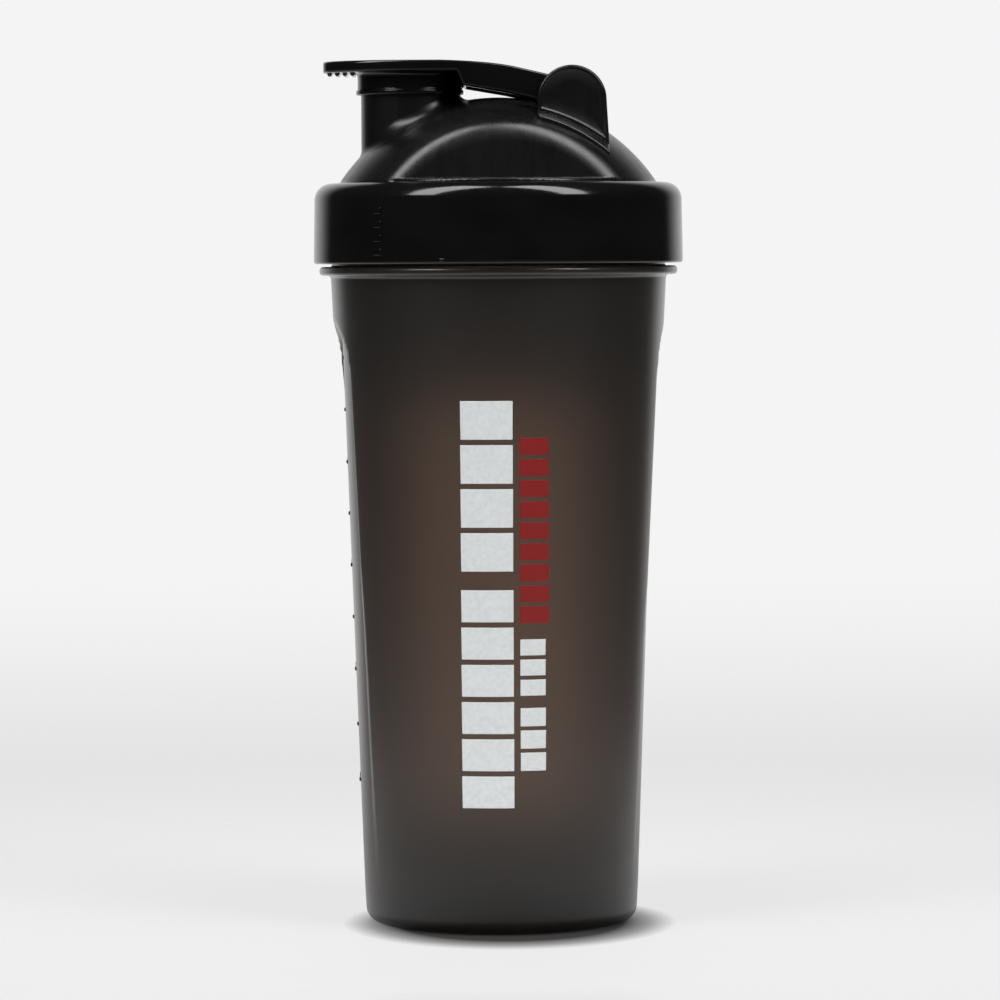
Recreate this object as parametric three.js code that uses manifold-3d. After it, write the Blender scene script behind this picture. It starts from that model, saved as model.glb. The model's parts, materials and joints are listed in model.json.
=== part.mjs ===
// A 600 ml protein shaker bottle: tumbler, screw lid with a spout, flip cap and mixing sieve.
// Millimetres, +Z up. The origin is the centre of the foot, on the surface the bottle stands on.
// +X points from the spout to the cap's hinge.
import * as THREE from "three";
import { mergeVertices } from "three/addons/utils/BufferGeometryUtils.js";
import Module from "manifold-3d";

const wasm = await Module();
wasm.setup();

// ---- Driving dimensions ----
const SEGMENTS = 60; // facets round the bottle
const GAP = 0.3; // clearance between pieces that touch
const REACH = 80; // half size of a cutting block, larger than any piece is wide

// Tumbler: a cone that widens by TAPER for each millimetre of height
const WALL = 1.8;
const BASE_RADIUS = 33.4;
const TAPER = 0.0493;
const CORNER_RADIUS = 4;
const FOOT_INNER = 26;
const FOOT_RECESS = 1.8;
const FLOOR_TOP = 4.2;
const FLOOR_CORNER = 7;
const BODY_TOP = 157;
const FLANGE_RADIUS = 44;
const FLANGE_FLARE = 1.2; // how far the body widens just under the flange
const FLANGE_BOTTOM = 159.2;
const FLANGE_TOP = 161.4;
const NECK_RADIUS = 41;
const MOUTH_RADIUS = 39.3;
const RIM_TOP = 178.4;

// Finger grips: two recessed panels with arched tops, on a steeper cone
const GRIP_RADIUS = 33.55;
const GRIP_TAPER = 0.0342;
const GRIP_TURN = 5; // degrees that the tumbler stands turned under the lid
const GRIP_BOTTOM = 10;
const GRIP_SHOULDER = 141.5;
const GRIP_TOP = 147.5;
const GRIP_HALF_WIDTH = 13.4;
const GRIP_ARCH = 12;

// Raised measuring scale: heights of the 100 ml marks, the 50 ml marks lie between them
const SCALE_HEIGHTS = [35, 62.4, 88.1, 113.5, 139.2];
const MARK_HEIGHT = 0.9;
const MARK_RELIEF = 0.45;
const MARK_START = 174; // degrees round from +X
const LONG_MARK = 14;
const SHORT_MARK = 8;

// Thread: one round bead on the neck and one inside the collar, on the same lead
const LEAD = 6;
const THREAD_TURNS = 1.25;
const NECK_BEAD = { radius: 41.2, section: 1.4, start: 167 };
const LID_BEAD = { radius: 43.1, section: 1.5, start: 164 };

// Lid: collar, domed top with two flat flanks, spout, hinge ears
const COLLAR_RADIUS = 45.4;
const COLLAR_BOTTOM = 162.1;
const COLLAR_TOP = 181.6;
const COLLAR_ROUND = 4.4;
const COLLAR_BORE = 43.3;
const LID_WALL = 1.9;
const DOME_RADIUS = 45.8;
const DOME_CENTRE = 156.4;
const FLANK_DISTANCE = 30.9; // from the dome's centre to each flank
const FLANK_LEAN = 9; // degrees
const SEAL_OUTER = 39;
const SEAL_INNER = 37.6;
const SEAL_BOTTOM = 174.4;
const SNAP_INNER = 37;
const SPOUT_X = -22.1;
const SPOUT_RADIUS = 12;
const SPOUT_BORE = 10;
const SPOUT_TOP = 207.4;

// Hinge
const HINGE_X = 18.3;
const HINGE_Z = 203;
const EAR_X = 18.05;
const EAR_CENTRE_Z = 201.7;
const EAR_RADIUS = 8.4;
const EAR_OUTER = 18;
const EAR_INNER = 15.6;
const PLINTH_OUTER = 20.6;
const PLINTH_RISE = 1.2;
const SOCKET_RADIUS = 2.6;
const SOCKET_DEPTH = 1.5;
const PIN_RADIUS = 2.3;
const BARREL_RADIUS = 4;

// Flip cap
const CAP_TOP = 211.6;
const CAP_PLATE = 2.7;
const CAP_TIP = -43.5;
const CAP_HALF_WIDTH = EAR_INNER - GAP;
const STRAP_WAIST = [6.4, 203.7]; // where the strap's underside bends, in x and z
const SKIRT_OUTER = 13.2;
const SKIRT_INNER = 12.35;
const SKIRT_BOTTOM = 203.4;
const PLUG_OUTER = 9.6;
const PLUG_INNER = 8;
const PLUG_BOTTOM = 201.8;
const POCKET_HALF_WIDTH = 12.6;

// Mixing sieve
const SIEVE_RIM = SEAL_INNER - GAP;
const SIEVE_BODY = SNAP_INNER - GAP;
const SIEVE_BOTTOM = 172.4;
const SIEVE_GRID_TOP = 174;
const SIEVE_TOP = 178.4;
const SIEVE_WALL = 1.5;
const SIEVE_LEDGE = 175.8;
const BAR_PITCH = 9;
const BAR_WIDTH = 1.8;

// ---- Helpers ----
const degrees = THREE.MathUtils.degToRad;
const bodyRadius = (z) => BASE_RADIUS + TAPER * z;
const gripRadius = (z) => GRIP_RADIUS + GRIP_TAPER * z;

// A closed three.js geometry as a solid.
const solid = (geometry) => {
  const plain = geometry.clone();
  plain.deleteAttribute("normal");
  plain.deleteAttribute("uv");
  const merged = mergeVertices(plain, 1e-4);
  return new wasm.Manifold(
    new wasm.Mesh({
      numProp: 3,
      vertProperties: new Float32Array(merged.attributes.position.array),
      triVerts: new Uint32Array(merged.index.array),
    }),
  );
};

// A named mesh of a solid.
const meshOf = (name, shape, material) => {
  const { numProp, vertProperties, triVerts } = shape.getMesh();
  const positions = new Float32Array((vertProperties.length / numProp) * 3);
  for (let i = 0; i * 3 < positions.length; i++) {
    positions.set(vertProperties.subarray(i * numProp, i * numProp + 3), i * 3);
  }
  const geometry = new THREE.BufferGeometry();
  geometry.setAttribute("position", new THREE.BufferAttribute(positions, 3));
  geometry.setIndex(new THREE.BufferAttribute(new Uint32Array(triVerts), 1));
  geometry.computeVertexNormals();
  const mesh = new THREE.Mesh(geometry, material);
  mesh.name = name;
  return mesh;
};

// A path of (radius, height) points turned round Z. It starts and ends on the axis, or is closed.
const turned = (path, curveSteps = 3) =>
  solid(new THREE.LatheGeometry(path.getPoints(curveSteps), SEGMENTS).rotateX(Math.PI / 2));

const cylinder = (radius, bottom, top, x = 0, segments = SEGMENTS) => {
  const shape = new THREE.CylinderGeometry(radius, radius, top - bottom, segments);
  return solid(shape.rotateX(Math.PI / 2).translate(x, 0, (bottom + top) / 2));
};

// A round bar along Y between two values of y.
const crossBar = (radius, from, to, x, z, segments = 32) => {
  const shape = new THREE.CylinderGeometry(radius, radius, to - from, segments);
  return solid(shape.translate(x, (from + to) / 2, z));
};

const box = (low, high) => {
  const size = high.map((value, axis) => value - low[axis]);
  const middle = high.map((value, axis) => (value + low[axis]) / 2);
  return solid(new THREE.BoxGeometry(...size).translate(...middle));
};

// An outline drawn in X and Z, thickened along Y between two values of y.
const sideways = (outline, from, to, curveSteps = 8) => {
  const depth = to - from;
  const shape = new THREE.ExtrudeGeometry(outline, { depth, bevelEnabled: false, curveSegments: curveSteps });
  return solid(shape.rotateX(Math.PI / 2).translate(0, to, 0));
};

// An outline drawn in X and Y, thickened upward between two heights.
const upward = (outline, bottom, top, curveSteps = 8) => {
  const depth = top - bottom;
  const shape = new THREE.ExtrudeGeometry(outline, { depth, bevelEnabled: false, curveSegments: curveSteps });
  return solid(shape.translate(0, 0, bottom));
};

// A ring of rectangular section.
const ring = (inner, outer, bottom, top, x = 0, segments = SEGMENTS) =>
  cylinder(outer, bottom, top, x, segments).subtract(cylinder(inner, bottom - 1, top + 1, x, segments));

class Helix extends THREE.Curve {
  constructor(radius, start) {
    super();
    this.radius = radius;
    this.start = start;
  }

  getPoint(t, target = new THREE.Vector3()) {
    const angle = t * 2 * Math.PI * THREAD_TURNS;
    const height = this.start + t * LEAD * THREAD_TURNS;
    return target.set(this.radius * Math.cos(angle), this.radius * Math.sin(angle), height);
  }
}

// A round thread bead that follows the helix.
const threadBead = ({ radius, section, start }) => {
  const outline = new THREE.Shape().absarc(0, 0, section, 0, 2 * Math.PI);
  const extrudePath = new Helix(radius, start);
  const steps = Math.round(26 * THREAD_TURNS);
  return solid(new THREE.ExtrudeGeometry(outline, { extrudePath, steps, curveSegments: 4 }));
};

// ---- Tumbler ----

// The blocks that the two grip panels leave out of the tumbler, moved inward by the wall for the inside.
const gripCutter = (inset) => {
  const band = new THREE.Path();
  band.moveTo(gripRadius(GRIP_BOTTOM) - inset, GRIP_BOTTOM);
  band.lineTo(REACH, GRIP_BOTTOM);
  band.lineTo(REACH, GRIP_TOP - inset);
  band.lineTo(bodyRadius(GRIP_TOP) - inset, GRIP_TOP - inset);
  band.lineTo(gripRadius(GRIP_SHOULDER) - inset, GRIP_SHOULDER - inset);
  band.closePath();
  const halfWidth = GRIP_HALF_WIDTH + inset;
  const spring = GRIP_TOP - GRIP_ARCH;
  const outline = new THREE.Shape();
  outline.moveTo(halfWidth, 0);
  outline.lineTo(halfWidth, spring);
  outline.absellipse(0, spring, halfWidth, GRIP_ARCH + 1, 0, Math.PI);
  outline.lineTo(-halfWidth, 0);
  outline.closePath();
  const window = sideways(outline, -REACH, REACH, 10);
  return turned(band).intersect(window.rotate([0, 0, 90])).rotate([0, 0, GRIP_TURN]);
};

const tumblerOutside = () => {
  const outline = new THREE.Path();
  const corner = bodyRadius(CORNER_RADIUS) - CORNER_RADIUS;
  outline.moveTo(0, FOOT_RECESS);
  outline.lineTo(FOOT_INNER - FOOT_RECESS, FOOT_RECESS);
  outline.lineTo(FOOT_INNER, 0);
  outline.lineTo(corner, 0);
  outline.absarc(corner, CORNER_RADIUS, CORNER_RADIUS, -Math.PI / 2, 0);
  outline.lineTo(bodyRadius(BODY_TOP), BODY_TOP);
  outline.lineTo(bodyRadius(BODY_TOP) + FLANGE_FLARE, FLANGE_BOTTOM);
  const flangeRound = (FLANGE_TOP - FLANGE_BOTTOM) / 2;
  const flangeMiddle = (FLANGE_TOP + FLANGE_BOTTOM) / 2;
  outline.absarc(FLANGE_RADIUS - flangeRound, flangeMiddle, flangeRound, -Math.PI / 2, Math.PI / 2);
  outline.lineTo(NECK_RADIUS, FLANGE_TOP);
  outline.lineTo(NECK_RADIUS, RIM_TOP - 0.8);
  outline.lineTo(NECK_RADIUS - 0.6, RIM_TOP);
  outline.lineTo(0, RIM_TOP);
  return turned(outline);
};

const tumblerInside = () => {
  const outline = new THREE.Path();
  const corner = bodyRadius(FLOOR_TOP + FLOOR_CORNER) - WALL - FLOOR_CORNER;
  outline.moveTo(0, FLOOR_TOP);
  outline.lineTo(corner, FLOOR_TOP);
  outline.absarc(corner, FLOOR_TOP + FLOOR_CORNER, FLOOR_CORNER, -Math.PI / 2, 0);
  outline.lineTo(MOUTH_RADIUS, BODY_TOP);
  outline.lineTo(MOUTH_RADIUS, RIM_TOP + 1);
  outline.lineTo(0, RIM_TOP + 1);
  return turned(outline);
};

// One raised mark of the measuring scale.
const scaleMark = (height, length) => {
  const inner = gripRadius(height) - WALL / 2;
  const outer = gripRadius(height) + MARK_RELIEF;
  const [from, to] = [degrees(MARK_START), degrees(MARK_START + length)];
  const sector = new THREE.Shape();
  sector.absarc(0, 0, outer, from, to, false);
  sector.absarc(0, 0, inner, to, from, true);
  sector.closePath();
  return upward(sector, height - MARK_HEIGHT / 2, height + MARK_HEIGHT / 2, 4);
};

const tumbler = () => {
  const outside = tumblerOutside().subtract(gripCutter(0));
  const inside = tumblerInside().subtract(gripCutter(WALL));
  const shell = outside.subtract(inside).add(threadBead(NECK_BEAD));
  const marks = SCALE_HEIGHTS.flatMap((height, i) => {
    const next = SCALE_HEIGHTS[i + 1];
    const long = scaleMark(height, LONG_MARK);
    return next ? [long, scaleMark((height + next) / 2, SHORT_MARK)] : [long];
  });
  const whole = marks.reduce((sum, mark) => sum.add(mark), shell);
  const plastic = new THREE.MeshStandardMaterial({ color: 0x3a312b, roughness: 0.45, metalness: 0 });
  plastic.transparent = true;
  plastic.opacity = 0.85;
  return meshOf("cup", whole, plastic);
};

// ---- Lid ----

// What a flat flank cuts off the dome on each side, above a height. Inset moves it inward.
const flankCutter = (inset, floor) => {
  const distance = FLANK_DISTANCE - inset;
  const flanks = [-1, 1].map((side) => {
    const slab = new THREE.BoxGeometry(2 * REACH, REACH, 2 * REACH);
    slab.translate(0, side * (distance + REACH / 2), 0);
    slab.rotateX(side * degrees(FLANK_LEAN));
    return solid(slab.translate(0, 0, DOME_CENTRE));
  });
  const above = box([-REACH, -REACH, floor], [REACH, REACH, floor + REACH]);
  return flanks[0].add(flanks[1]).intersect(above);
};

// The dome's quarter arc from its edge at a height up to the axis.
const domeArc = (path, radius, from) => {
  const start = Math.asin((from - DOME_CENTRE) / radius);
  path.absarc(0, DOME_CENTRE, radius, start, Math.PI / 2);
};

const lidOutside = () => {
  const outline = new THREE.Path();
  outline.moveTo(0, COLLAR_BOTTOM);
  outline.lineTo(COLLAR_RADIUS, COLLAR_BOTTOM);
  const shoulder = COLLAR_TOP - COLLAR_ROUND;
  const top = COLLAR_RADIUS - 0.2;
  outline.absarc(top - COLLAR_ROUND, shoulder, COLLAR_ROUND, 0, Math.PI / 2);
  domeArc(outline, DOME_RADIUS, COLLAR_TOP);
  return turned(outline, 4).subtract(flankCutter(0, COLLAR_TOP));
};

const lidInside = () => {
  const ceiling = COLLAR_TOP - LID_WALL;
  const outline = new THREE.Path();
  outline.moveTo(0, COLLAR_BOTTOM - 1);
  outline.lineTo(COLLAR_BORE, COLLAR_BOTTOM - 1);
  outline.lineTo(COLLAR_BORE, ceiling - 2);
  outline.lineTo(COLLAR_BORE - 2, ceiling);
  outline.lineTo(SEAL_INNER, ceiling);
  domeArc(outline, DOME_RADIUS - LID_WALL, ceiling + 1.5);
  return turned(outline, 4).subtract(flankCutter(LID_WALL, ceiling));
};

const earOutline = () => {
  const outline = new THREE.Shape();
  const foot = COLLAR_TOP;
  outline.moveTo(EAR_X + EAR_RADIUS, foot);
  outline.lineTo(EAR_X + EAR_RADIUS, EAR_CENTRE_Z);
  outline.absarc(EAR_X, EAR_CENTRE_Z, EAR_RADIUS, 0, Math.PI);
  outline.lineTo(EAR_X - EAR_RADIUS, foot);
  outline.closePath();
  return outline;
};

// A low step on the dome beside an ear's foot.
const plinth = (side) => {
  const step = [side * EAR_INNER, side * PLINTH_OUTER].sort((a, b) => a - b);
  const column = box(
    [EAR_X - EAR_RADIUS - 1, step[0], COLLAR_TOP],
    [EAR_X + EAR_RADIUS, step[1], DOME_CENTRE + DOME_RADIUS],
  );
  const cap = new THREE.SphereGeometry(DOME_RADIUS + PLINTH_RISE, SEGMENTS, SEGMENTS / 2);
  return column.intersect(solid(cap.rotateX(Math.PI / 2).translate(0, 0, DOME_CENTRE)));
};

const ear = (side) => {
  const [from, to] = side > 0 ? [EAR_INNER, EAR_OUTER] : [-EAR_OUTER, -EAR_INNER];
  return sideways(earOutline(), from, to, 12);
};

const lid = () => {
  const spout = cylinder(SPOUT_RADIUS, COLLAR_TOP - 4, SPOUT_TOP, SPOUT_X, 40);
  const spoutBore = cylinder(SPOUT_BORE, COLLAR_TOP - 5, SPOUT_TOP + 1, SPOUT_X, 40);
  const socketReach = EAR_INNER + SOCKET_DEPTH;
  const sockets = crossBar(SOCKET_RADIUS, -socketReach, socketReach, HINGE_X, HINGE_Z);
  const ears = [-1, 1].map((side) => ear(side).add(plinth(side)));
  const skirt = ring(SEAL_INNER, SEAL_OUTER, SEAL_BOTTOM, COLLAR_TOP - LID_WALL + 0.5);
  const snap = ring(SNAP_INNER, SEAL_INNER + 0.5, SEAL_BOTTOM, SEAL_BOTTOM + 0.9);
  const whole = lidOutside()
    .add(spout)
    .add(ears[0])
    .add(ears[1])
    .subtract(sockets)
    .subtract(lidInside())
    .subtract(spoutBore)
    .add(skirt)
    .add(snap)
    .add(threadBead(LID_BEAD));
  const plastic = new THREE.MeshStandardMaterial({ color: 0x0b0b0c, roughness: 0.18, metalness: 0 });
  return meshOf("lid", whole, plastic);
};

// ---- Flip cap ----

// The strap from the thumb tip over the spout to the hinge, seen from the side.
const strapOutline = () => {
  const round = CAP_PLATE / 2;
  const outline = new THREE.Shape();
  outline.moveTo(CAP_TIP + round, CAP_TOP - CAP_PLATE);
  outline.lineTo(SPOUT_X + SKIRT_OUTER - 3, CAP_TOP - CAP_PLATE);
  outline.lineTo(SPOUT_X + SKIRT_OUTER, 206.4);
  outline.lineTo(...STRAP_WAIST);
  outline.lineTo(HINGE_X - 1.5, HINGE_Z - BARREL_RADIUS + 0.6);
  outline.lineTo(HINGE_X + 1, HINGE_Z);
  outline.lineTo(HINGE_X, HINGE_Z + BARREL_RADIUS - 0.1);
  outline.quadraticCurveTo(7, 208.2, 1, 209.9);
  outline.quadraticCurveTo(-5, CAP_TOP, -10, CAP_TOP);
  outline.lineTo(CAP_TIP + round, CAP_TOP);
  outline.absarc(CAP_TIP + round, CAP_TOP - round, round, Math.PI / 2, 1.5 * Math.PI);
  return outline;
};

// The strap seen from above: parallel sides, and a half ellipse round the spout to the thumb tip.
const strapPlan = (halfWidth) => {
  const outline = new THREE.Shape();
  outline.moveTo(HINGE_X + BARREL_RADIUS, -halfWidth);
  outline.lineTo(HINGE_X + BARREL_RADIUS, halfWidth);
  outline.lineTo(SPOUT_X, halfWidth);
  outline.absellipse(SPOUT_X, 0, SPOUT_X - CAP_TIP, halfWidth, Math.PI / 2, 1.5 * Math.PI);
  outline.closePath();
  return outline;
};

// The hollow under the strap, between its two side walls, from the skirt to the barrel.
const strapPocket = () => {
  const outline = new THREE.Shape();
  const start = SPOUT_X + SKIRT_OUTER + 0.6;
  outline.moveTo(start, 200);
  outline.lineTo(HINGE_X - BARREL_RADIUS - 1.4, 200);
  outline.lineTo(HINGE_X - BARREL_RADIUS - 1.4, 205.4);
  outline.lineTo(6, 206.7);
  outline.lineTo(0, 208.2);
  outline.lineTo(start, 209);
  outline.closePath();
  return sideways(outline, -POCKET_HALF_WIDTH, POCKET_HALF_WIDTH);
};

const flipCap = () => {
  const strap = sideways(strapOutline(), -CAP_HALF_WIDTH, CAP_HALF_WIDTH, 6).intersect(
    upward(strapPlan(CAP_HALF_WIDTH), HINGE_Z - 10, CAP_TOP + 1, 12),
  );
  const under = CAP_TOP - CAP_PLATE + 0.5;
  const skirt = ring(SKIRT_INNER, SKIRT_OUTER, SKIRT_BOTTOM, under, SPOUT_X, 40);
  const plug = ring(PLUG_INNER, PLUG_OUTER, PLUG_BOTTOM, under, SPOUT_X, 40);
  const barrel = crossBar(BARREL_RADIUS, -CAP_HALF_WIDTH, CAP_HALF_WIDTH, HINGE_X, HINGE_Z);
  const pinReach = EAR_INNER + SOCKET_DEPTH - GAP;
  const pins = crossBar(PIN_RADIUS, -pinReach, pinReach, HINGE_X, HINGE_Z);
  const grips = [0, 1, 2].map((i) => {
    const x = CAP_TIP + 2.4 + i * 1.8;
    return box([x, -5, CAP_TOP - CAP_PLATE - 0.6], [x + 0.7, 5, CAP_TOP - CAP_PLATE + 0.3]);
  });
  const whole = [skirt, plug, barrel, pins, ...grips].reduce(
    (sum, piece) => sum.add(piece),
    strap.subtract(strapPocket()),
  );
  const plastic = new THREE.MeshStandardMaterial({ color: 0x0a0a0b, roughness: 0.2, metalness: 0 });
  return meshOf("flip_cap", whole, plastic);
};

// ---- Mixing sieve ----
const sieve = () => {
  const wall = ring(SIEVE_BODY - SIEVE_WALL, SIEVE_BODY, SIEVE_BOTTOM, SIEVE_TOP);
  const ledge = ring(SIEVE_BODY - SIEVE_WALL, SIEVE_RIM, SIEVE_LEDGE, SIEVE_TOP);
  const count = Math.floor(SIEVE_BODY / BAR_PITCH);
  const disc = cylinder(SIEVE_BODY - 0.5, SIEVE_BOTTOM, SIEVE_GRID_TOP);
  const bars = [];
  for (let i = -count; i <= count; i++) {
    const [from, to] = [i * BAR_PITCH - BAR_WIDTH / 2, i * BAR_PITCH + BAR_WIDTH / 2];
    bars.push(box([from, -REACH, SIEVE_BOTTOM], [to, REACH, SIEVE_GRID_TOP]));
    bars.push(box([-REACH, from, SIEVE_BOTTOM], [REACH, to, SIEVE_GRID_TOP]));
  }
  const grid = bars.reduce((sum, bar) => sum.add(bar)).intersect(disc);
  const whole = wall.add(ledge).add(grid);
  const plastic = new THREE.MeshStandardMaterial({ color: 0x121213, roughness: 0.35, metalness: 0 });
  return meshOf("sieve", whole, plastic);
};

const group = new THREE.Group();
group.add(tumbler(), lid(), flipCap(), sieve());

export default group;
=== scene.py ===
"""Looks of the protein shaker bottle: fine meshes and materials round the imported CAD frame.

Shapes are worked out in millimetres in the CAD's frame and become meshes in metres.
"""

import json
import math

import bpy
import numpy as np
from mathutils import Matrix, Vector

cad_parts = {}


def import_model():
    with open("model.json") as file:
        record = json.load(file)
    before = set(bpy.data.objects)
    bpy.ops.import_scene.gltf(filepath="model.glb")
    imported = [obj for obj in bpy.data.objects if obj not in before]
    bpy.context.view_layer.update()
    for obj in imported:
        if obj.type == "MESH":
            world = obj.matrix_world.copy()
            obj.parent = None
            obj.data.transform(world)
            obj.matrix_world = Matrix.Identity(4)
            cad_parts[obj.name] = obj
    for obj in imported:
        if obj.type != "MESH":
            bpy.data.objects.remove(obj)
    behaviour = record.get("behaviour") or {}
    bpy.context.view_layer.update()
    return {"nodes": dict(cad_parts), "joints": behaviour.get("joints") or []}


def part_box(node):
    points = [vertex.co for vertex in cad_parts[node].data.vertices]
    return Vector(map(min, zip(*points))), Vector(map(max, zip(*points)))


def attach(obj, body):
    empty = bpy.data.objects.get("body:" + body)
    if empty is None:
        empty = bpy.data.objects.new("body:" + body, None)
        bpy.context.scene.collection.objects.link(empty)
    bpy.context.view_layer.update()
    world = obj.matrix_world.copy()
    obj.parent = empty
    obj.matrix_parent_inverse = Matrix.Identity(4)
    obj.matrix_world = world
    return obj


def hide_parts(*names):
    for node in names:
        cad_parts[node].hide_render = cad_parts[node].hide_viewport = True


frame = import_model()

MM = 0.001
TURN = 2 * math.pi


def box_mm(node):
    """A CAD node's lowest and highest corner, in millimetres."""
    return [np.array(corner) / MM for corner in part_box(node)]


CUP_HIGH, LID_HIGH = box_mm("cup")[1], box_mm("lid")[1]
CAP_LOW, CAP_HIGH = box_mm("flip_cap")
CAP_HINGE = next(j for j in frame["joints"] if j["name"] == "cap_flip")["pos_m"]

# ---- Tumbler ----
WALL = 1.8
BASE_RADIUS = 33.4  # of the tumbler's cone where it meets the ground
TAPER = 0.0493  # growth of that radius for each millimetre of height
FOOT_INNER, FOOT_RECESS = 26.0, 1.8
FLOOR_TOP = 4.2
BODY_TOP = 156.0
FLANGE_RADIUS = 44.0
FLANGE_BOTTOM, FLANGE_TOP = 159.2, 161.4
NECK_RADIUS, MOUTH_RADIUS = 41.0, 39.3
RIM_TOP = CUP_HIGH[2]
GRIP_RADIUS, GRIP_TAPER = 33.55, 0.0342  # the recessed panels' own cone
GRIP_TURN = math.radians(5)
GRIP_TOP, GRIP_ARCH, GRIP_HALF_WIDTH = 148.5, 12.0, 13.4
SCALE_HEIGHTS = (35, 62.4, 88.1, 113.5, 139.2)  # of the 100 ml marks
NUMERAL_SIZE, NUMERAL_ANGLE = 3.3, math.radians(170.6)
THREAD_LEAD, THREAD_TURNS = 6.0, 1.25
NECK_BEAD = {"radius": 41.2, "section": 1.4, "start": 167.0}
LID_BEAD = {"radius": 43.1, "section": 1.5, "start": 164.0}

# ---- Lid ----
COLLAR_RADIUS, COLLAR_BOTTOM = LID_HIGH[0], 162.1
COLLAR_TOP, COLLAR_ROUND, COLLAR_BORE = 181.8, 4.1, 43.3
LID_WALL = 1.9
DOME_RADIUS, DOME_CENTRE, DOME_STRETCH = 45.8, 156.95, 1.014
PLATFORM_RADIUS, PLATFORM_TOP = 37.9, 182.5
FLANK_DISTANCE, FLANK_ROUND = 31.3, 2.4
FLANK_LEAN, FLANK_TURN = math.radians(9.3), math.radians(4)
SEAL_OUTER, SEAL_INNER, SEAL_BOTTOM, SNAP_INNER = 39.0, 37.6, 174.4, 37.0
SPOUT_X, SPOUT_RADIUS, SPOUT_BORE, SPOUT_TOP = -21.5, 12.0, 10.0, 207.4

# ---- Hinge and flip cap ----
HINGE_X, HINGE_Z = CAP_HINGE[0] / MM, CAP_HINGE[2] / MM
EAR_X, EAR_CENTRE_Z, EAR_RADIUS = 18.05, 201.7, 8.4
EAR_OUTER, EAR_INNER = 18.0, 15.6
BARREL_RADIUS, PIN_RADIUS, SOCKET_RADIUS, SOCKET_DEPTH = 3.6, 2.3, 2.6, 0.9
CAP_TIP, CAP_TOP, CAP_PLATE = -43.0, CAP_HIGH[2], 2.8
CAP_HALF_WIDTH = EAR_INNER - 0.3
SKIRT_OUTER, SKIRT_INNER, SKIRT_BOTTOM = 13.2, 12.35, 203.4
PLUG_OUTER, PLUG_INNER, PLUG_BOTTOM = 9.6, 8.0, 201.8


def body_radius(z):
    return BASE_RADIUS + TAPER * z


def grip_radius(z):
    return GRIP_RADIUS + GRIP_TAPER * z


# ---- Meshes ----


def smooth_step(t):
    t = np.clip(t, 0, 1)
    return t * t * (3 - 2 * t)


def mesh_object(name, *shells):
    """One object from shells of (points in mm, faces, normals), each a closed surface."""
    points, sizes, corners, normals, shift = [], [], [], [], 0
    for co, faces, normal in shells:
        points.append(co)
        normals.append(normal)
        for face in faces:
            sizes.append(np.full(len(face), face.shape[1]))
            corners.append((face + shift).ravel())
        shift += len(co)
    points, sizes = np.concatenate(points) * MM, np.concatenate(sizes)
    corners, normals = np.concatenate(corners), np.concatenate(normals)
    mesh = bpy.data.meshes.new(name)
    mesh.vertices.add(len(points))
    mesh.vertices.foreach_set("co", points.astype(np.float32).ravel())
    mesh.loops.add(len(corners))
    mesh.loops.foreach_set("vertex_index", corners.astype(np.int32))
    mesh.polygons.add(len(sizes))
    mesh.polygons.foreach_set("loop_start", np.concatenate(([0], np.cumsum(sizes)[:-1])).astype(np.int32))
    mesh.polygons.foreach_set("use_smooth", np.ones(len(sizes), bool))
    mesh.update(calc_edges=True)
    mesh.validate()
    mesh.normals_split_custom_set_from_vertices(normals.astype(np.float32))
    made = bpy.data.objects.new(name, mesh)
    bpy.context.scene.collection.objects.link(made)
    return made


def face_normals(points, faces):
    """A normal for each point, from the faces round it by their area."""
    total = np.zeros_like(points)
    for face in faces:
        across = points[face[:, 2]] - points[face[:, 0]]
        other = points[face[:, -1]] - points[face[:, 1]]
        normal = np.cross(across, other)
        for column in range(face.shape[1]):
            np.add.at(total, face[:, column], normal)
    return total / np.maximum(np.linalg.norm(total, axis=1, keepdims=True), 1e-12)


def rounded(corners, closed, fine=0.5, longest=50.0):
    """A path through (r, z, radius) corners, with arcs of those radii and no stretch over longest."""
    pts = np.array([c[:2] for c in corners], float)
    path = []
    count = len(corners)
    for i, (_, _, radius) in enumerate(corners):
        ends = not closed and i in (0, count - 1)
        if ends or radius <= 0:
            path.append(pts[i])
            continue
        back = pts[i - 1] - pts[i]
        ahead = pts[(i + 1) % count] - pts[i]
        back, ahead = back / np.linalg.norm(back), ahead / np.linalg.norm(ahead)
        half = math.acos(np.clip(back @ ahead, -1, 1)) / 2
        reach = radius / math.tan(half)
        middle = pts[i] + (back + ahead) / np.linalg.norm(back + ahead) * radius / math.sin(half)
        first, last = pts[i] + back * reach - middle, pts[i] + ahead * reach - middle
        swing = math.pi - 2 * half
        side = np.sign(first[0] * last[1] - first[1] * last[0])
        steps = max(3, math.ceil(swing * radius / fine), math.ceil(swing / 0.2))
        for k in range(steps + 1):
            a = side * swing * k / steps
            cos, sin = math.cos(a), math.sin(a)
            path.append(middle + np.array((first[0] * cos - first[1] * sin, first[0] * sin + first[1] * cos)))
    dense = []
    stretch = len(path) if closed else len(path) - 1
    for i in range(stretch):
        a, b = path[i], path[(i + 1) % len(path)]
        parts = max(1, math.ceil(np.linalg.norm(b - a) / longest))
        dense += [a + (b - a) * k / parts for k in range(parts)]
    return np.array(dense if closed else dense + [path[-1]])


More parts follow.
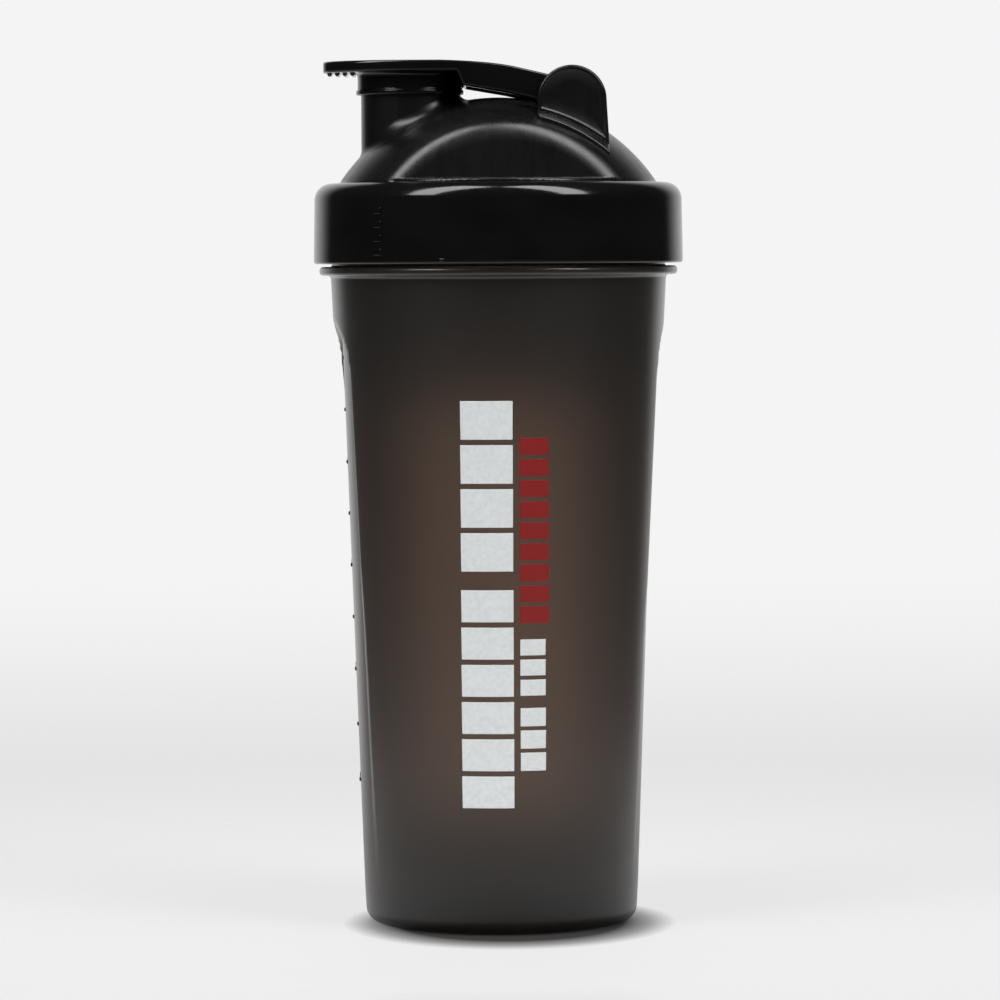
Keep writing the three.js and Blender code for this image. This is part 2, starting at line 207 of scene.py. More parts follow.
def revolve(profile, columns, closed, shape=None):
    """A shell turned round Z from a profile with its solid on the left.

    shape(angle, r, z) gives the new r.
    """
    angles = np.arange(columns) * TURN / columns
    r = np.repeat(profile[None, :, 0], columns, 0)
    z = np.repeat(profile[None, :, 1], columns, 0)
    if shape is not None:
        r = shape(np.repeat(angles[:, None], len(profile), 1), r, z)
    grid = np.stack([r * np.cos(angles)[:, None], r * np.sin(angles)[:, None], z], -1)
    rows = len(profile)
    column = np.arange(columns)[:, None]
    row = np.arange(rows if closed else rows - 1)[None, :]
    here, there = column * rows, (column + 1) % columns * rows
    up = (row + 1) % rows
    quads = np.stack([here + row, there + row, there + up, here + up], -1).reshape(-1, 4)
    points, faces = grid.reshape(-1, 3), [quads]
    if not closed:  # both ends lie on the axis, and each becomes one point
        keep = np.ones(len(points), bool)
        keep[0::rows], keep[rows - 1 :: rows] = False, False
        number = np.cumsum(keep) - 1
        first, last = keep.sum(), keep.sum() + 1
        number[0::rows], number[rows - 1 :: rows] = first, last
        poles = np.array([[0, 0, profile[0, 1]], [0, 0, profile[-1, 1]]])
        points = np.concatenate([points[keep], poles])
        quads = number[quads]
        foot, head = quads[:, 0] == first, quads[:, 2] == last
        faces = [quads[~(foot | head)], quads[foot][:, [0, 2, 3]], quads[head][:, [0, 1, 2]]]
    return points, faces, face_normals(points, faces)


def implicit(field, low, high, step):
    """A closed shell where field(points) is zero, found on a grid and moved onto the exact surface."""
    axes = [np.arange(a, b + step, step) for a, b in zip(low, high)]
    grid = np.stack(np.meshgrid(*axes, indexing="ij"), -1)
    values = field(grid.reshape(-1, 3)).reshape(grid.shape[:3])
    inside = values < 0
    corners = [(i, j, k) for i in (0, 1) for j in (0, 1) for k in (0, 1)]
    cells = [n - 1 for n in values.shape]

    def corner(array, offset):
        i, j, k = offset
        return array[i : i + cells[0], j : j + cells[1], k : k + cells[2]]

    filled = sum(corner(inside, c).astype(np.int8) for c in corners)
    mixed = (filled > 0) & (filled < 8)
    number = np.full(mixed.shape, -1)
    number[mixed] = np.arange(mixed.sum())
    total, hits = np.zeros((mixed.sum(), 3)), np.zeros(mixed.sum())
    for a in corners:
        for axis in range(3):
            if a[axis]:
                continue
            b = tuple(1 if n == axis else v for n, v in enumerate(a))
            va, vb = corner(values, a)[mixed], corner(values, b)[mixed]
            pa, pb = corner(grid, a)[mixed], corner(grid, b)[mixed]
            crossed = (va < 0) != (vb < 0)
            share = np.where(crossed, va / np.where(crossed, va - vb, 1), 0)[:, None]
            total += np.where(crossed[:, None], pa + (pb - pa) * share, 0)
            hits += crossed
    points = total / hits[:, None]
    quads = []
    for axis in range(3):
        u, v = (axis + 1) % 3, (axis + 2) % 3
        lead = [slice(None)] * 3
        lag = [slice(None)] * 3
        lead[axis], lag[axis] = slice(1, None), slice(None, -1)
        out, back = inside[tuple(lag)], inside[tuple(lead)]
        change = out != back
        edge = np.argwhere(change)
        edge = edge[(edge[:, u] > 0) & (edge[:, v] > 0) & (edge[:, u] < cells[u]) & (edge[:, v] < cells[v])]
        around = []
        for du, dv in ((-1, -1), (0, -1), (0, 0), (-1, 0)):
            cell = edge.copy()
            cell[:, u] += du
            cell[:, v] += dv
            around.append(number[tuple(cell.T)])
        quad = np.stack(around, -1)
        flip = ~out[tuple(edge.T)]
        quad[flip] = quad[flip][:, ::-1]
        quads.append(quad)

    def slope(p, reach=0.02):
        moves = np.eye(3) * reach
        return np.stack([(field(p + m) - field(p - m)) / (2 * reach) for m in moves], -1)

    for _ in range(4):
        lean = slope(points)
        move = field(points)[:, None] * lean / np.maximum((lean**2).sum(1, keepdims=True), 0.1)
        size = np.linalg.norm(move, axis=1, keepdims=True)
        points = points - move * np.minimum(1, step / 2 / np.maximum(size, 1e-9))
    lean = slope(points)
    normals = lean / np.maximum(np.linalg.norm(lean, axis=1, keepdims=True), 1e-9)
    return points, [np.concatenate(quads)], normals


# Distances are negative inside. Two of them join or meet along a fillet of radius r.


def join(a, b, r):
    return np.maximum(r, np.minimum(a, b)) - np.hypot(np.maximum(r - a, 0), np.maximum(r - b, 0))


def meet(a, b, r):
    return np.minimum(-r, np.maximum(a, b)) + np.hypot(np.maximum(r + a, 0), np.maximum(r + b, 0))


def outline_distance(x, z, outline):
    """Distance from points to a closed outline of straight stretches, negative inside."""
    best, inside = np.full(x.shape, 1e9), np.zeros(x.shape, bool)
    for (ax, az), (bx, bz) in zip(outline, np.roll(outline, -1, 0)):
        ex, ez = bx - ax, bz - az
        t = np.clip(((x - ax) * ex + (z - az) * ez) / (ex * ex + ez * ez), 0, 1)
        best = np.minimum(best, np.hypot(x - ax - t * ex, z - az - t * ez))
        if az != bz:
            spans = (az > z) != (bz > z)
            inside ^= spans & (x < (bx - ax) * (z - az) / (bz - az) + ax)
    return np.where(inside, -best, best)


def bezier(a, b, c, steps=10):
    """Points after a on a curve from a to c that b pulls."""
    a, b, c = (np.array(p, float) for p in (a, b, c))
    return [(1 - t) ** 2 * a + 2 * t * (1 - t) * b + t * t * c for t in np.linspace(0, 1, steps + 1)[1:]]


def relief_block(angles, heights, base, top, columns=12, edge=0.15):
    """A raised patch on the tumbler: base(z) and top(z) are its radii, and its top edges are bevelled."""
    a0, a1 = angles
    z0, z1 = heights
    mid_radius = top((z0 + z1) / 2)
    cut = edge / mid_radius
    flat = np.linspace(a0 + cut, a1 - cut, columns)
    a = np.concatenate(([a0, a0], flat, [a1, a1]))
    rise = np.ones(len(a))
    rise[[0, -1]] = 0
    rise[[1, -2]] = 0.6
    z = np.array([z0, z0, z0 + edge, z1 - edge, z1, z1])
    lift = np.array([0, 0.6, 1, 1, 0.6, 0])
    share = np.minimum(rise[:, None], lift[None, :])
    radius = base(z)[None, :] + (top(z) - base(z))[None, :] * share
    na, nz = len(a), len(z)
    heights_too = np.repeat(z[None, :], na, 0)
    grid = np.stack([radius * np.cos(a)[:, None], radius * np.sin(a)[:, None], heights_too], -1)
    i, j = np.meshgrid(np.arange(na - 1), np.arange(nz - 1), indexing="ij")
    quads = np.stack([i * nz + j, (i + 1) * nz + j, (i + 1) * nz + j + 1, i * nz + j + 1], -1).reshape(-1, 4)
    front = grid.reshape(-1, 3)
    back_radius = base(z).min() - 0.3
    back = np.stack([back_radius * np.cos(a), back_radius * np.sin(a)], -1)
    low = np.column_stack([back, np.full(na, z0)])
    high = np.column_stack([back, np.full(na, z1)])
    points = np.concatenate([front, low, high])
    k = np.arange(na - 1)
    l, h = len(front), len(front) + na
    under = np.stack([l + k, l + k + 1, (k + 1) * nz, k * nz], -1)
    over = np.stack([k * nz + nz - 1, (k + 1) * nz + nz - 1, h + k + 1, h + k], -1)
    rear = np.stack([l + k + 1, l + k, h + k, h + k + 1], -1)
    faces = [np.concatenate([quads, under, over, rear])]
    left = np.concatenate([[l], np.arange(nz), [h]])[None, :]
    right = np.concatenate([[h + na - 1], (na - 1) * nz + np.arange(nz)[::-1], [l + na - 1]])[None, :]
    faces += [left[:, ::-1], right[:, ::-1]]
    return points, faces, face_normals(points, faces)


def arc(middle, width, radius):
    """The two angles of an arc of this width, round a middle given in degrees."""
    half = width / 2 / radius
    return math.radians(middle) - half, math.radians(middle) + half


def thread_bump(angle, z, bead, inward):
    """The radius of a round thread bead where it covers this height.

    Elsewhere it is a radius that never counts: negative outward, huge inward.
    """
    empty = 1e6 if inward else -1.0
    radius = np.full(z.shape, empty)
    for turn in range(math.ceil(THREAD_TURNS) + 1):
        along = angle / TURN + turn
        middle = bead["start"] + THREAD_LEAD * along
        ends = smooth_step(np.minimum(along, THREAD_TURNS - along) / 0.04)
        deep = bead["section"] ** 2 - (z - middle) ** 2
        bulge = np.sqrt(np.maximum(deep, 0)) * ends
        hit = (deep > 0) & (along >= 0) & (along <= THREAD_TURNS)
        crest = bead["radius"] - bulge if inward else bead["radius"] + bulge
        radius = np.where(hit, crest, radius)
    return radius


# ---- Materials ----


class Nodes:
    """A material's node tree with a Principled shader, and short ways to add nodes to it."""

    def __init__(self, name):
        self.material = bpy.data.materials.new(name)
        self.material.use_nodes = True
        self.tree = self.material.node_tree
        self.shader = self.tree.nodes["Principled BSDF"]
        self.place = self.add("ShaderNodeTexCoord").outputs["Object"]

    def add(self, kind, **values):
        node = self.tree.nodes.new(kind)
        for key, value in values.items():
            setattr(node, key, value)
        return node

    def link(self, source, target):
        self.tree.links.new(source, target)

    def noise(self, scale, detail=3.0, rough=0.55, stretch=(1, 1, 1)):
        """Fractal noise, with scale in features for each metre."""
        mapping = self.add("ShaderNodeMapping")
        mapping.inputs["Scale"].default_value = stretch
        self.link(self.place, mapping.inputs["Vector"])
        node = self.add("ShaderNodeTexNoise")
        node.inputs["Scale"].default_value = scale
        node.inputs["Detail"].default_value = detail
        node.inputs["Roughness"].default_value = rough
        self.link(mapping.outputs["Vector"], node.inputs["Vector"])
        return node.outputs["Fac"]

    def spread(self, value, low, high, start=0.0, end=1.0):
        """value mapped from start..end to low..high."""
        node = self.add("ShaderNodeMapRange")
        for key, number in (("From Min", start), ("From Max", end), ("To Min", low), ("To Max", high)):
            node.inputs[key].default_value = number
        self.link(value, node.inputs["Value"])
        return node.outputs["Result"]

    def sum(self, a, b):
        node = self.add("ShaderNodeMath", operation="ADD")
        self.link(a, node.inputs[0])
        self.link(b, node.inputs[1])
        return node.outputs["Value"]

    def ramp(self, value, *stops):
        """Colours along value, as (position, (r, g, b))."""
        node = self.add("ShaderNodeValToRGB")
        elements = node.color_ramp.elements
        while len(elements) < len(stops):
            elements.new(0.5)
        for element, (position, colour) in zip(elements, stops):
            element.position = position
            element.color = (*colour, 1)
        self.link(value, node.inputs["Fac"])
        return node.outputs["Color"]

    def bump(self, height, strength, distance):
        node = self.add("ShaderNodeBump")
        node.inputs["Strength"].default_value = strength
        node.inputs["Distance"].default_value = distance
        self.link(height, node.inputs["Height"])
        self.link(node.outputs["Normal"], self.shader.inputs["Normal"])

    def set(self, **values):
        for key, value in values.items():
            self.shader.inputs[key.replace("_", " ")].default_value = value


def gloss_black(name, tint, roughness, swirl, satin=0.0):
    """Polished black moulding: faint flow waves, a fine tooling grain and light handling marks.

    satin is how much rougher the mould left it above the collar.
    """
    m = Nodes(name)
    flow = m.noise(60, 2.0, 0.4, swirl)
    grain = m.noise(2600, 2.0)
    marks = m.noise(420, 5.0, 0.7, (1, 1, 0.15))
    colour = m.ramp(flow, (0.3, [c * 0.8 for c in tint]), (0.7, [c * 1.25 for c in tint]))
    m.link(colour, m.shader.inputs["Base Color"])
    fine = m.spread(grain, roughness - 0.02, roughness + 0.02)
    rough = m.sum(m.spread(marks, -0.03, 0.05, 0.35, 0.75), fine)
    height = m.add("ShaderNodeSeparateXYZ")
    m.link(m.place, height.inputs["Vector"])
    upper = m.spread(height.outputs["Z"], 0, satin, COLLAR_TOP * MM, PLATFORM_TOP * MM)
    m.link(m.sum(rough, upper), m.shader.inputs["Roughness"])
    m.bump(m.sum(m.spread(flow, 0, 1.0), m.spread(grain, 0, 0.05)), 0.25, 0.00005)
    m.set(IOR=1.49)
    return m.material


def smoke_plastic():
    """Frosted smoke-brown moulding with a polished skin, which light passes through, and painted shade
    darkening it towards the foot.
    """
    m = Nodes("smoke_plastic")
    cloud = m.noise(35, 3.0, 0.5, (1, 1, 0.35))
    grain = m.noise(3200, 2.0)
    colour = m.ramp(cloud, (0.3, (0.072, 0.056, 0.046)), (0.7, (0.082, 0.064, 0.053)))
    height = m.add("ShaderNodeSeparateXYZ")
    m.link(m.place, height.inputs["Vector"])
    foot_shade = m.add("ShaderNodeMixRGB", blend_type="MULTIPLY")
    foot_shade.inputs["Fac"].default_value = 1
    m.link(colour, foot_shade.inputs["Color1"])
    # painted shade: the colour darkens to 0.3 of itself from 14 mm down to 1 mm above the ground
    foot = m.spread(height.outputs["Z"], 0, 1, 0.001, 0.014)
    m.link(m.ramp(foot, (0, (0.3, 0.3, 0.3)), (1, (1, 1, 1))), foot_shade.inputs["Color2"])
    m.link(foot_shade.outputs["Color"], m.shader.inputs["Base Color"])
    m.link(m.spread(grain, 0.47, 0.55), m.shader.inputs["Roughness"])
    m.bump(grain, 0.1, 0.00003)
    m.set(IOR=1.49, Specular_IOR_Level=0.0, Transmission_Weight=0.95)
    m.link(m.spread(height.outputs["Z"], 0.4, 0.85, 0.02, 0.07), m.shader.inputs["Coat Weight"])
    m.set(Coat_Roughness=0.2, Coat_IOR=1.49)
    return m.material


def ink(name, colour):
    """Screen-printed ink: slightly uneven cover with a fine weave of the screen."""
    m = Nodes(name)
    cover = m.noise(900, 4.0, 0.6)
    screen = m.noise(5200, 1.0)
    shades = m.ramp(cover, (0.3, [c * 0.9 for c in colour]), (0.65, colour))
    m.link(shades, m.shader.inputs["Base Color"])
    m.link(m.spread(screen, 0.38, 0.5), m.shader.inputs["Roughness"])
    m.bump(screen, 0.1, 0.00003)
    return m.material


# ---- Tumbler ----


def grip_depth(angle, z):
    """How far a side panel lies below the tumbler's cone: nothing outside its arched outline."""
    full = np.maximum(body_radius(z) - grip_radius(z), 0)
    spring = GRIP_TOP - GRIP_ARCH
    depth = np.zeros(z.shape)
    for centre in (GRIP_TURN, GRIP_TURN + math.pi):
        off = np.abs((angle - centre + math.pi) % TURN - math.pi) * body_radius(z)
        side = GRIP_HALF_WIDTH - off
        arch = (1 - np.hypot(off / GRIP_HALF_WIDTH, (z - spring) / GRIP_ARCH)) * GRIP_ARCH
        within = np.where(z < spring, side, arch)
        ease = 1.6 + 2.6 * smooth_step((z - spring) / GRIP_ARCH)
        share = 1 - (1 - np.clip(within / ease, 0, 1)) ** 2
        depth = np.maximum(depth, full * share)
    return np.where(z > GRIP_TOP, 0, depth)


def cup_shape(angle, r, z):
    """The wall's radius: pressed in at the grips, and out at the thread on the neck."""
    r = r - np.where(r > BASE_RADIUS / 2, grip_depth(angle, z), 0)
    on_neck = (z > FLANGE_TOP + 0.5) & (r > NECK_RADIUS - 0.5)
    return np.where(on_neck, np.maximum(r, thread_bump(angle, z, NECK_BEAD, False)), r)


def cup_shell():
    inner = body_radius(BODY_TOP) - WALL
    outline = rounded(
        [
            (0, FOOT_RECESS, 0),
            (FOOT_INNER - 1.2, FOOT_RECESS, 0.8),
            (FOOT_INNER, 0, 0.5),
            (body_radius(0) - 0.1, 0, 3.6),
            (body_radius(FLANGE_BOTTOM), FLANGE_BOTTOM, 0.9),
            (FLANGE_RADIUS, FLANGE_BOTTOM + 0.1, 0.9),
            (FLANGE_RADIUS, FLANGE_TOP, 0.9),
            (NECK_RADIUS, FLANGE_TOP, 0.4),
            (NECK_RADIUS, RIM_TOP, 0.6),
            (MOUTH_RADIUS, RIM_TOP, 0.6),
            (inner, BODY_TOP, 1.5),
            (body_radius(FLOOR_TOP) - WALL, FLOOR_TOP, 6.5),
            (0, FLOOR_TOP, 0),
        ],
        closed=False,
        longest=0.7,
    )
    return revolve(outline, 256, False, cup_shape)


def scale_marks():
    """Raised marks every 50 ml on the left panel, the 100 ml ones longer."""
    marks = []
    halves = [(a + b) / 2 for a, b in zip(SCALE_HEIGHTS, SCALE_HEIGHTS[1:])]
    for start, end, heights in ((176.3, 183.5, SCALE_HEIGHTS), (178.5, 182.5, halves)):
        for height in heights:
            marks.append(
                relief_block(
                    (math.radians(start), math.radians(end)),
                    (height - 0.45, height + 0.45),
                    lambda z: grip_radius(z) - 0.1,
                    lambda z: grip_radius(z) + 0.28,
                )
            )
    return marks


def raised_text(body, size, angle, height):
    """Moulded numerals wrapped on the left panel, reading upright from outside."""
    curve = bpy.data.curves.new("numerals", "FONT")
    curve.body, curve.size, curve.extrude = body, size, 0.3
    curve.align_x, curve.align_y = "CENTER", "CENTER"
    curve.bevel_depth, curve.resolution_u = 0.05, 4
    holder = bpy.data.objects.new("numerals", curve)
    bpy.context.scene.collection.objects.link(holder)
    bpy.context.view_layer.update()
    mesh = bpy.data.meshes.new_from_object(holder.evaluated_get(bpy.context.evaluated_depsgraph_get()))
    co = np.array([v.co for v in mesh.vertices], float)
    faces = {}
    for polygon in mesh.polygons:
        faces.setdefault(len(polygon.vertices), []).append(list(polygon.vertices))
    bpy.data.objects.remove(holder)
    bpy.data.meshes.remove(mesh)
    z = height + co[:, 1]
    radius = grip_radius(z) + co[:, 2] + 0.02
    a = angle + co[:, 0] / grip_radius(height)
    points = np.stack([radius * np.cos(a), radius * np.sin(a), z], -1)
    faces = [np.array(group) for group in faces.values()]
    return points, faces, face_normals(points, faces)


def cup():
    numerals = [
        raised_text(str(100 * (i + 1)), NUMERAL_SIZE, NUMERAL_ANGLE, height)
        for i, height in enumerate(SCALE_HEIGHTS)
    ]
    made = mesh_object("tumbler", cup_shell(), *scale_marks(), *numerals)
    made.data.materials.append(smoke_plastic())
    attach(made, "cup")
    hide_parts("cup")


# ---- Printed bars on the tumbler's front ----


def printed_column(name, centre, width, blocks, material):
    """A column of printed blocks, from (low, high) heights, centre and width measured round the front."""
    def under(z):
        return body_radius(z) - 0.02

    def over(z):
        return body_radius(z) + 0.06

    shells = []
    for low, high in blocks:
        radius = body_radius((low + high) / 2)
        a = -math.pi / 2 + centre / radius
        half = width / 2 / radius
        shells.append(relief_block((a - half, a + half), (low, high), under, over, 10, 0.05))
    made = mesh_object(name, *shells)
    made.data.materials.append(material)
    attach(made, "cup")


def stacked(low, high, count, gap):
    """Equal blocks that fill low..high with gaps between them."""
    size = (high - low - gap * (count - 1)) / count
    return [(low + i * (size + gap), low + i * (size + gap) + size) for i in range(count)]


def prints():
    white = ink("white_ink", (0.93, 0.96, 0.96))
    red = ink("red_ink", (0.30, 0.012, 0.011))
    wide = stacked(31.3, 84, 6, 1.3) + stacked(88.5, 129.4, 4, 1.3)
    printed_column("print_white_wide", -3.1, 12.6, wide, white)
    narrow = stacked(40.3, 55.5, 3, 1.0) + stacked(58.5, 72.1, 3, 1.0)
    printed_column("print_white_narrow", 7.9, 6.2, narrow, white)
    printed_column("print_red", 8.4, 7.2, stacked(76, 120.5, 9, 1.0), red)


# ---- Lid ----


def collar_shape(angle, r, z):
    on_bore = (r > COLLAR_BORE - 0.5) & (r < COLLAR_BORE + 0.5) & (z > COLLAR_BOTTOM + 0.8)
    return np.where(on_bore, np.minimum(r, thread_bump(angle, z, LID_BEAD, True)), r)


def collar_shell():
    ceiling = COLLAR_TOP - LID_WALL
    outline = rounded(
        [
            (COLLAR_RADIUS - 0.1, COLLAR_BOTTOM, 0.6),
            (COLLAR_RADIUS, COLLAR_BOTTOM + 1, 0),
            (COLLAR_RADIUS - 0.35, COLLAR_TOP, COLLAR_ROUND),
            (SEAL_INNER, COLLAR_TOP, 0.2),
            (SEAL_INNER, SEAL_BOTTOM + 0.9, 0.2),
            (SNAP_INNER, SEAL_BOTTOM + 0.7, 0.2),
            (SNAP_INNER, SEAL_BOTTOM, 0.3),
            (SEAL_OUTER, SEAL_BOTTOM, 0.5),
            (SEAL_OUTER, ceiling, 0.4),
            (COLLAR_BORE, ceiling, 1.6),
            (COLLAR_BORE, COLLAR_BOTTOM, 0.4),
        ],
        closed=True,
        fine=0.35,
        longest=0.6,
    )
    return revolve(outline, 256, True, collar_shape)


def dome_field(p):
    """The domed top with its flat flanks, the spout and the hollow under them."""
    x, y, z = p.T
    up = z - DOME_CENTRE
    away = np.sqrt((x / DOME_STRETCH) ** 2 + y * y + up * up)
    side = np.abs(y * math.cos(FLANK_TURN) - x * math.sin(FLANK_TURN))
    flank = side * math.cos(FLANK_LEAN) + up * math.sin(FLANK_LEAN) - FLANK_DISTANCE
    outer = meet(away - DOME_RADIUS, flank, FLANK_ROUND)
    platform = meet(np.hypot(x, y) - PLATFORM_RADIUS, z - PLATFORM_TOP, 0.4)
    outer = join(outer, platform, 0.3)
    from_spout = np.hypot(x - SPOUT_X, y)
    spout = meet(from_spout - SPOUT_RADIUS, z - SPOUT_TOP, 0.5)
    fillet = 0.8 + 2.0 * smooth_step((x - SPOUT_X + SPOUT_RADIUS) / 9)  # it widens towards the dome's top
    outer = join(outer, np.maximum(spout, COLLAR_TOP - z), fillet)
    hollow = meet(away - DOME_RADIUS + LID_WALL, flank + LID_WALL, FLANK_ROUND)
    shell = np.maximum(outer, -np.maximum(hollow, COLLAR_TOP - LID_WALL - z - 5))
    shell = meet(shell, SPOUT_BORE - from_spout, 0.5)
    return np.maximum(shell, COLLAR_TOP - LID_WALL - z)


def ear_field(p):
    """A hinge ear with a raised rim round a dished face, on a low plinth. y is measured outward."""
    x, y, z = p.T
    dx, dz = x - EAR_X, z - EAR_CENTRE_Z
    below = np.where(dx > 0, dx + 0.06 * dz, -dx)
    round_top = np.where(dz > 0, np.hypot(dx, dz), below) - EAR_RADIUS
    on_dome = np.hypot(x, z - DOME_CENTRE)
    seat = math.sqrt(DOME_RADIUS**2 - EAR_OUTER**2) + 1.1
    outline = meet(round_top, seat - on_dome, 0.4)
    bowl = 1 - (1 - np.clip((-outline - 0.8) / 3.6, 0, 1)) ** 2
    dish = 0.2 * smooth_step((-outline - 0.6) / 0.5) + 0.75 * bowl
    plate = np.maximum(y - EAR_OUTER + dish, EAR_INNER - y)
    ear = meet(outline, plate, 0.6)
    away = np.sqrt(x * x + y * y + (z - DOME_CENTRE) ** 2)
    foot = np.maximum(round_top + 0.9, np.abs(y - EAR_INNER - 0.7) - 0.7)
    foot = np.maximum(np.maximum(foot, DOME_RADIUS - 1 - away), z - EAR_CENTRE_Z)
    ear = np.minimum(ear, foot)
    end_x = np.maximum(EAR_X - EAR_RADIUS + 1.6 - x, x - EAR_X - EAR_RADIUS)
    plan = np.hypot(np.maximum(end_x, 0), np.maximum(np.abs(y - EAR_INNER - 2.5) - 0.9, 0)) - 1.6
    plan = np.maximum(plan, x - EAR_X - EAR_RADIUS - 0.6)
    plinth = meet(plan, away - DOME_RADIUS - 1.0, 0.35)
    plinth = np.maximum(plinth, DOME_RADIUS - 1 - away)
    whole = np.minimum(ear, plinth)
    socket = np.hypot(x - HINGE_X, z - HINGE_Z) - SOCKET_RADIUS
    return np.maximum(whole, -np.maximum(socket, y - EAR_INNER - SOCKET_DEPTH))


def mirrored(shell):
    points, faces, normals = shell
    flip = np.array([1, -1, 1])
    return points * flip, [face[:, ::-1] for face in faces], normals * flip


def collar_marks():
    """Four plain raised bars low on the collar's left front, and a small nub at its bottom edge."""
    def base(z):
        return COLLAR_RADIUS - 0.1 + 0 * z

    def top(z):
        return COLLAR_RADIUS + 0.2 + 0 * z

    marks = []
    for height in (165.0, 168.3, 171.6, 174.9):
        bar = arc(-129.6, 2.3, COLLAR_RADIUS)
        marks.append(relief_block(bar, (height - 0.8, height + 0.8), base, top, 6))
    nub = arc(-107.3, 1.4, COLLAR_RADIUS)
    marks.append(relief_block(nub, (COLLAR_BOTTOM + 0.5, COLLAR_BOTTOM + 1.3), base, top, 6))
    return marks


def lid(material):
    step = 0.45
    edge = PLATFORM_RADIUS + 1
    dome = implicit(dome_field, (-edge, -edge, COLLAR_TOP - LID_WALL - 1), (edge, edge, SPOUT_TOP + 1), step)
    ear = implicit(
        ear_field,
        (EAR_X - EAR_RADIUS - 2, EAR_INNER - 1, COLLAR_TOP),
        (EAR_X + EAR_RADIUS + 2, EAR_OUTER + 4, EAR_CENTRE_Z + EAR_RADIUS + 1),
        step * 0.6,
    )
    made = mesh_object("screw_lid", collar_shell(), dome, mirrored(ear), ear, *collar_marks())
    made.data.materials.append(material)
    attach(made, "lid")
    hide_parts("lid")


# ---- Flip cap ----


def strap_side():
    """The strap's outline from the side, as (x, z) points."""
    under = CAP_TOP - CAP_PLATE
    outline = [(CAP_TIP, under), (SPOUT_X + SKIRT_OUTER - 1.5, under), (SPOUT_X + SKIRT_OUTER, 205.3)]
    outline += [(2.0, 203.5), (8.4, 202.0), (13.5, 200.3), (HINGE_X, HINGE_Z - BARREL_RADIUS)]
    outline += [(HINGE_X + 1, HINGE_Z), (HINGE_X, HINGE_Z + BARREL_RADIUS)]
    outline += [tuple(p) for p in bezier(outline[-1], (11, 208.3), (5, 209.7))]
    outline += [tuple(p) for p in bezier(outline[-1], (-1, 211.2), (-14, CAP_TOP))]
    return np.array(outline + [(CAP_TIP, CAP_TOP)])


def pocket_side():
    start = SPOUT_X + SKIRT_OUTER + 0.6
    end = HINGE_X - BARREL_RADIUS - 1.4
    return np.array([(start, 197), (end, 197), (end, 205.6), (6, 206.9), (0, 208.4), (start, 209.2)])


STRAP_SIDE, POCKET_SIDE = strap_side(), pocket_side()


def cap_field(p):
    """The flip cap: strap, skirt and plug over the spout, barrel and stub pins, thumb ribs."""
    x, y, z = p.T
    reach = SPOUT_X - CAP_TIP
    back = np.minimum(x - SPOUT_X, 0)
    k = np.hypot(back / reach, y / CAP_HALF_WIDTH)
    pull = np.hypot(back / reach**2, y / CAP_HALF_WIDTH**2)
    plan = np.where(x < SPOUT_X, (k - 1) * k / np.maximum(pull, 1e-6), np.abs(y) - CAP_HALF_WIDTH)
    strap = meet(plan, outline_distance(x, z, STRAP_SIDE), 0.7)
    pocket = np.maximum(np.abs(y) - 12.9, outline_distance(x, z, POCKET_SIDE))
    strap = meet(strap, -pocket, 0.25)
    ring = np.hypot(x - SPOUT_X, y)
    tall = z - CAP_TOP + CAP_PLATE / 2
    lip = 0.35 * smooth_step((SKIRT_BOTTOM + 1.3 - z) / 0.3)
    skirt = np.maximum(ring - SKIRT_OUTER + 0.35 - lip, np.maximum(SKIRT_INNER - ring, tall))
    skirt = meet(skirt, SKIRT_BOTTOM - z, 0.25)
    plug = meet(np.maximum(ring - PLUG_OUTER, np.maximum(PLUG_INNER - ring, tall)), PLUG_BOTTOM - z, 0.5)
    whole = join(join(strap, skirt, 0.8), plug, 0.5)
    axle = np.hypot(x - HINGE_X, z - HINGE_Z)
    barrel = meet(axle - BARREL_RADIUS, np.abs(y) - CAP_HALF_WIDTH, 0.3)
    pins = meet(axle - PIN_RADIUS, np.abs(y) - EAR_INNER - SOCKET_DEPTH + 0.3, 0.3)
    whole = np.minimum(join(whole, barrel, 0.6), pins)
    for i in range(4):
        rib = meet(np.abs(x - CAP_TIP - 1.9 - i * 1.9) - 0.55, CAP_TOP - CAP_PLATE - 0.8 - z, 0.4)
        rib = meet(rib, np.maximum(np.abs(y) - 3.6 - i, tall), 0.3)
        whole = join(whole, rib, 0.25)
    return whole


def flip_cap(material):
    step = 0.4
    shell = implicit(cap_field, CAP_LOW - 1, CAP_HIGH + 1, step)
    made = mesh_object("spout_cap", shell)
    made.data.materials.append(material)
    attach(made, "flip_cap")
    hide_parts("flip_cap")


# ---- Materials on the kept CAD node ----


def carried_nodes():
    sieve = frame["nodes"]["sieve"]
    sieve.data.materials.clear()
    sieve.data.materials.append(gloss_black("sieve_plastic", (0.02, 0.02, 0.021), 0.3, (1, 1, 1)))


# ---- Studio ----

# The camera stands level with the collar and looks a little down.
CAMERA_AWAY = 1.235
CAMERA_HEIGHT = 0.1659
CAMERA_TILT = math.radians(2.88)
CAMERA_SIDE = 0.0001
CAMERA_ROLL = math.radians(-0.3)
LENS = 180.5


def camera():
    data = bpy.data.cameras.new("camera")
    data.lens = LENS
    made = bpy.data.objects.new("camera", data)
    bpy.context.scene.collection.objects.link(made)
    made.location = (CAMERA_SIDE, -CAMERA_AWAY, CAMERA_HEIGHT)
    turn = Matrix.Rotation(math.pi / 2 - CAMERA_TILT, 4, "X") @ Matrix.Rotation(CAMERA_ROLL, 4, "Z")
    made.rotation_euler = turn.to_euler()
    bpy.context.scene.camera = made


def area_light(name, place, target, width, height, power):
    data = bpy.data.lights.new(name, "AREA")
    data.shape, data.size, data.size_y, data.energy = "RECTANGLE", width, height, power
    made = bpy.data.objects.new(name, data)
    bpy.context.scene.collection.objects.link(made)
    made.location = place
    made.rotation_euler = (Vector(target) - Vector(place)).to_track_quat("-Z", "Y").to_euler()
    made.visible_camera = False
    return made


